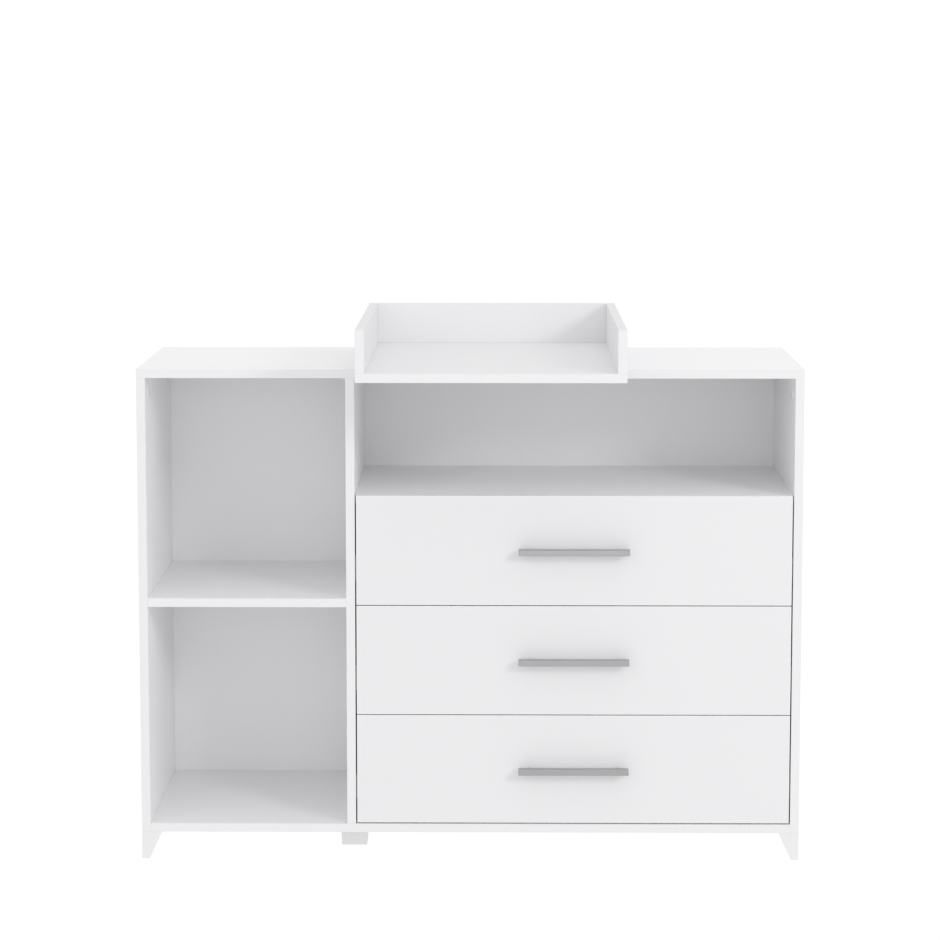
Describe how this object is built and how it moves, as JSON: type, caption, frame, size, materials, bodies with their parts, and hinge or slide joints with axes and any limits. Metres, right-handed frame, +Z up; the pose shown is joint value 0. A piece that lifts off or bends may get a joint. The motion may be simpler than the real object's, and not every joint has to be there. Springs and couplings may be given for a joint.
{
  "type": "changing table",
  "caption": "Chest-height baby changing dresser with two open side bays, an open niche over flush drawers on runners, and a lift-off open-front changing tray that overhangs the front.",
  "frame": {"origin": "on the floor, midway across the width, and midway between the tray's front edge and the cabinet's back edge", "axes": "+X to the right as the user faces the drawers, +Y from the drawers' fronts towards the back, +Z up"},
  "size_m": [1.2, 0.67, 0.992],
  "materials": {
    "carcass_laminate": "white melamine-faced board, fine matt grain",
    "front_laminate": "white melamine-faced board, fine matt grain",
    "tray_laminate": "white melamine-faced board, fine matt grain",
    "box_laminate": "white melamine-faced board, fine matt grain",
    "back_hardboard": "white lacquered hardboard, smooth",
    "leg_plastic": "white moulded plastic, fine texture",
    "handle_aluminium": "satin brushed",
    "runner_steel": "bright zinc-plated",
    "zinc_steel": "zinc-plated",
    "beech": "raw fluted beech",
    "pad_rubber": "soft translucent grey"
  },
  "bodies": {
    "carcass": {"bottom_panel": "carcass_laminate", "cam_bolts": "zinc_steel", "cam_locks": "zinc_steel", "centre_divider": "carcass_laminate", "confirmat_screws": "zinc_steel", "dowels": "beech", "front_centre_foot": "leg_plastic", "front_left_leg": "leg_plastic", "front_right_leg": "leg_plastic", "left_back_panel": "back_hardboard", "left_bay_shelf": "carcass_laminate", "left_side_panel": "carcass_laminate", "leg_screws": "zinc_steel", "lower_drawer_cabinet_runners": "runner_steel", "middle_drawer_cabinet_runners": "runner_steel", "niche_shelf": "carcass_laminate", "rear_centre_foot": "leg_plastic", "rear_left_leg": "leg_plastic", "rear_right_leg": "leg_plastic", "right_back_panel": "back_hardboard", "right_side_panel": "carcass_laminate", "runner_screws": "zinc_steel", "top_panel": "carcass_laminate", "upper_drawer_cabinet_runners": "runner_steel"},
    "lower_drawer": {"lower_drawer_back": "box_laminate", "lower_drawer_bottom": "back_hardboard", "lower_drawer_fittings": "zinc_steel", "lower_drawer_front": "front_laminate", "lower_drawer_handle": "handle_aluminium", "lower_drawer_handle_screws": "zinc_steel", "lower_drawer_inner_runners": "runner_steel", "lower_drawer_left_side": "box_laminate", "lower_drawer_right_side": "box_laminate"},
    "middle_drawer": {"middle_drawer_back": "box_laminate", "middle_drawer_bottom": "back_hardboard", "middle_drawer_fittings": "zinc_steel", "middle_drawer_front": "front_laminate", "middle_drawer_handle": "handle_aluminium", "middle_drawer_handle_screws": "zinc_steel", "middle_drawer_inner_runners": "runner_steel", "middle_drawer_left_side": "box_laminate", "middle_drawer_right_side": "box_laminate"},
    "upper_drawer": {"upper_drawer_back": "box_laminate", "upper_drawer_bottom": "back_hardboard", "upper_drawer_fittings": "zinc_steel", "upper_drawer_front": "front_laminate", "upper_drawer_handle": "handle_aluminium", "upper_drawer_handle_screws": "zinc_steel", "upper_drawer_inner_runners": "runner_steel", "upper_drawer_left_side": "box_laminate", "upper_drawer_right_side": "box_laminate"},
    "lower_middle_runners": {"lower_drawer_middle_runners": "runner_steel"},
    "middle_middle_runners": {"middle_drawer_middle_runners": "runner_steel"},
    "upper_middle_runners": {"upper_drawer_middle_runners": "runner_steel"},
    "tray": {"tray_back_wall": "tray_laminate", "tray_base": "tray_laminate", "tray_left_wall": "tray_laminate", "tray_pads": "pad_rubber", "tray_right_wall": "tray_laminate", "tray_screws": "zinc_steel"}
  },
  "joints": [
    {"name": "lower_drawer_slide", "type": "slide", "parent": "carcass", "child": "lower_drawer", "axis": [0, -1, 0], "range_m": [0, 0.34]},
    {"name": "middle_drawer_slide", "type": "slide", "parent": "carcass", "child": "middle_drawer", "axis": [0, -1, 0], "range_m": [0, 0.34]},
    {"name": "upper_drawer_slide", "type": "slide", "parent": "carcass", "child": "upper_drawer", "axis": [0, -1, 0], "range_m": [0, 0.34]},
    {"name": "lower_runner_slide", "type": "slide", "parent": "carcass", "child": "lower_middle_runners", "axis": [0, -1, 0], "range_m": [0, 0.17]},
    {"name": "middle_runner_slide", "type": "slide", "parent": "carcass", "child": "middle_middle_runners", "axis": [0, -1, 0], "range_m": [0, 0.17]},
    {"name": "upper_runner_slide", "type": "slide", "parent": "carcass", "child": "upper_middle_runners", "axis": [0, -1, 0], "range_m": [0, 0.17]},
    {"name": "tray_lift", "type": "slide", "parent": "carcass", "child": "tray", "axis": [0, 0, 1], "range_m": [0, 0.12]}
  ],
  "couplings": [
    {"joint": "lower_runner_slide", "follows": "lower_drawer_slide", "ratio": 0.5},
    {"joint": "middle_runner_slide", "follows": "middle_drawer_slide", "ratio": 0.5},
    {"joint": "upper_runner_slide", "follows": "upper_drawer_slide", "ratio": 0.5}
  ]
}
